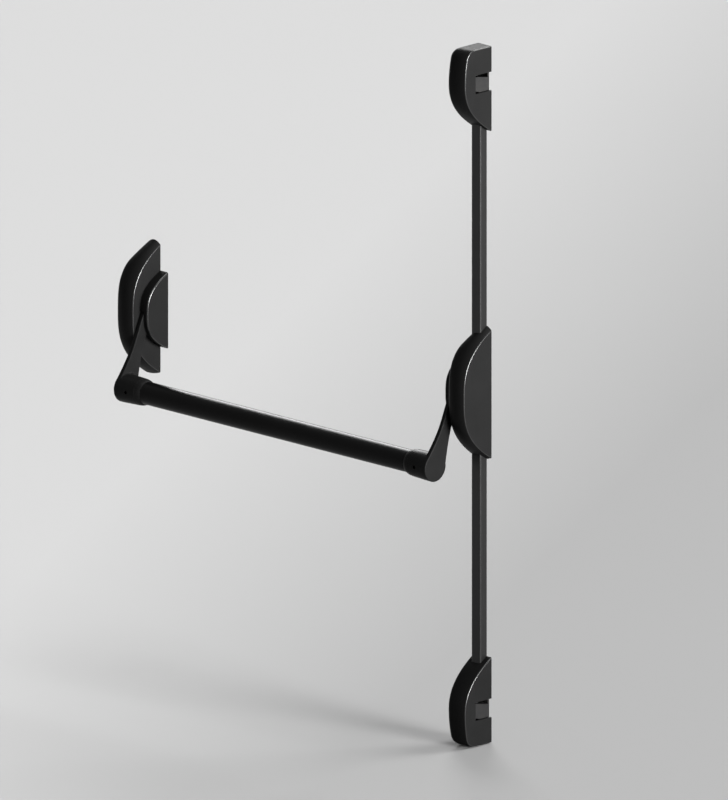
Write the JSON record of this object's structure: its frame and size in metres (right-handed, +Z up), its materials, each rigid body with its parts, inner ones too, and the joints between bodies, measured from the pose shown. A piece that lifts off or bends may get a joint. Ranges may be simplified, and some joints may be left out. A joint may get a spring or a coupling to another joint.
{
  "type": "panic bar exit device",
  "caption": "Push bar exit device for a door: tube on swinging arms that works vertical rods and top and bottom latches.",
  "frame": {"origin": "middle of the main case's back plate, on the door face", "axes": "+X to the right along the door, +Y into the door, +Z up along the rods"},
  "size_m": [0.6364, 0.0865, 0.928],
  "materials": {
    "cover_plastic": "black satin moulded plastic, fine grain",
    "arm_paint": "black satin powder coat",
    "tube_paint": "black satin powder coat",
    "cover_channel": "black anodised",
    "zinc_steel": "zinc plated",
    "dark_steel": "blackened steel",
    "spring_steel": "spring steel",
    "bush_bronze": "sintered bronze",
    "guide_nylon": "natural nylon",
    "buffer_rubber": "black rubber"
  },
  "bodies": {
    "frame": {"main_back_plate": "zinc_steel", "main_chassis": "zinc_steel", "main_bushes": "bush_bronze", "main_stop_buffer": "buffer_rubber", "main_rod_guides": "guide_nylon", "main_cover": "cover_plastic", "main_inner_cover": "cover_plastic", "main_cover_screws": "dark_steel", "pivot_back_plate": "zinc_steel", "pivot_chassis": "zinc_steel", "pivot_bushes": "bush_bronze", "pivot_stop_buffer": "buffer_rubber", "pivot_cover": "cover_plastic", "pivot_inner_cover": "cover_plastic", "pivot_cover_screws": "dark_steel", "pivot_return_spring": "spring_steel", "upper_rod_cover": "cover_channel", "lower_rod_cover": "cover_channel", "upper_rod_clips": "guide_nylon", "lower_rod_clips": "guide_nylon", "upper_rod_spring": "spring_steel", "upper_latch_base": "dark_steel", "upper_latch_cover": "cover_plastic", "upper_latch_screws": "dark_steel", "upper_pawl_pin": "zinc_steel", "upper_pawl_spring": "spring_steel", "lower_rod_spring": "spring_steel", "lower_latch_base": "dark_steel", "lower_latch_cover": "cover_plastic", "lower_latch_screws": "dark_steel", "lower_pawl_pin": "zinc_steel", "lower_pawl_spring": "spring_steel"},
    "bar": {"push_tube": "tube_paint", "main_arm": "arm_paint", "pivot_arm": "arm_paint", "tube_collars": "cover_plastic", "tube_set_screws": "dark_steel", "main_shaft": "zinc_steel", "pivot_shaft": "zinc_steel", "drive_cam": "zinc_steel", "cam_roll_pin": "spring_steel", "crank_pins": "zinc_steel", "crank_pin_clips": "spring_steel", "shaft_spacers": "zinc_steel", "arm_screws": "dark_steel", "pivot_spring_hub": "zinc_steel"},
    "upper_rod_body": {"upper_rod": "zinc_steel", "upper_rod_carrier": "zinc_steel", "upper_rod_nuts": "zinc_steel", "upper_rod_collar": "zinc_steel", "upper_release_slide": "zinc_steel"},
    "lower_rod_body": {"lower_rod": "zinc_steel", "lower_rod_carrier": "zinc_steel", "lower_rod_nuts": "zinc_steel", "lower_rod_collar": "zinc_steel", "lower_release_slide": "zinc_steel"},
    "upper_pawl_body": {"upper_pawl": "dark_steel"},
    "lower_pawl_body": {"lower_pawl": "dark_steel"}
  },
  "joints": [
    {"name": "bar_swing", "type": "hinge", "parent": "frame", "child": "bar", "pos_m": [0, -0.024, 0.014], "axis": [1, 0, 0], "range_deg": [0, 15], "stiffness_Nm_per_rad": 1.2, "springref_deg": -34.38, "deforming": ["pivot_return_spring"]},
    {"name": "upper_rod_slide", "type": "slide", "parent": "frame", "child": "upper_rod_body", "axis": [0, 0, 1], "range_m": [-0.0042, 0], "deforming": ["upper_rod_spring"]},
    {"name": "lower_rod_slide", "type": "slide", "parent": "frame", "child": "lower_rod_body", "axis": [0, 0, 1], "range_m": [0, 0.0042], "deforming": ["lower_rod_spring"]},
    {"name": "upper_pawl_turn", "type": "hinge", "parent": "frame", "child": "upper_pawl_body", "pos_m": [0.0074, -0.033, 0.4065], "axis": [0, 0, 1], "range_deg": [0, 12], "deforming": ["upper_pawl_spring"]},
    {"name": "lower_pawl_turn", "type": "hinge", "parent": "frame", "child": "lower_pawl_body", "pos_m": [0.0074, -0.033, -0.4065], "axis": [0, 0, 1], "range_deg": [0, 12], "deforming": ["lower_pawl_spring"]}
  ],
  "couplings": [
    {"joint": "upper_rod_slide", "follows": "bar_swing", "m_per_rad": -0.014829},
    {"joint": "lower_rod_slide", "follows": "bar_swing", "m_per_rad": 0.014829},
    {"joint": "upper_pawl_turn", "follows": "bar_swing", "ratio": 0.75333},
    {"joint": "lower_pawl_turn", "follows": "bar_swing", "ratio": 0.75333}
  ]
}
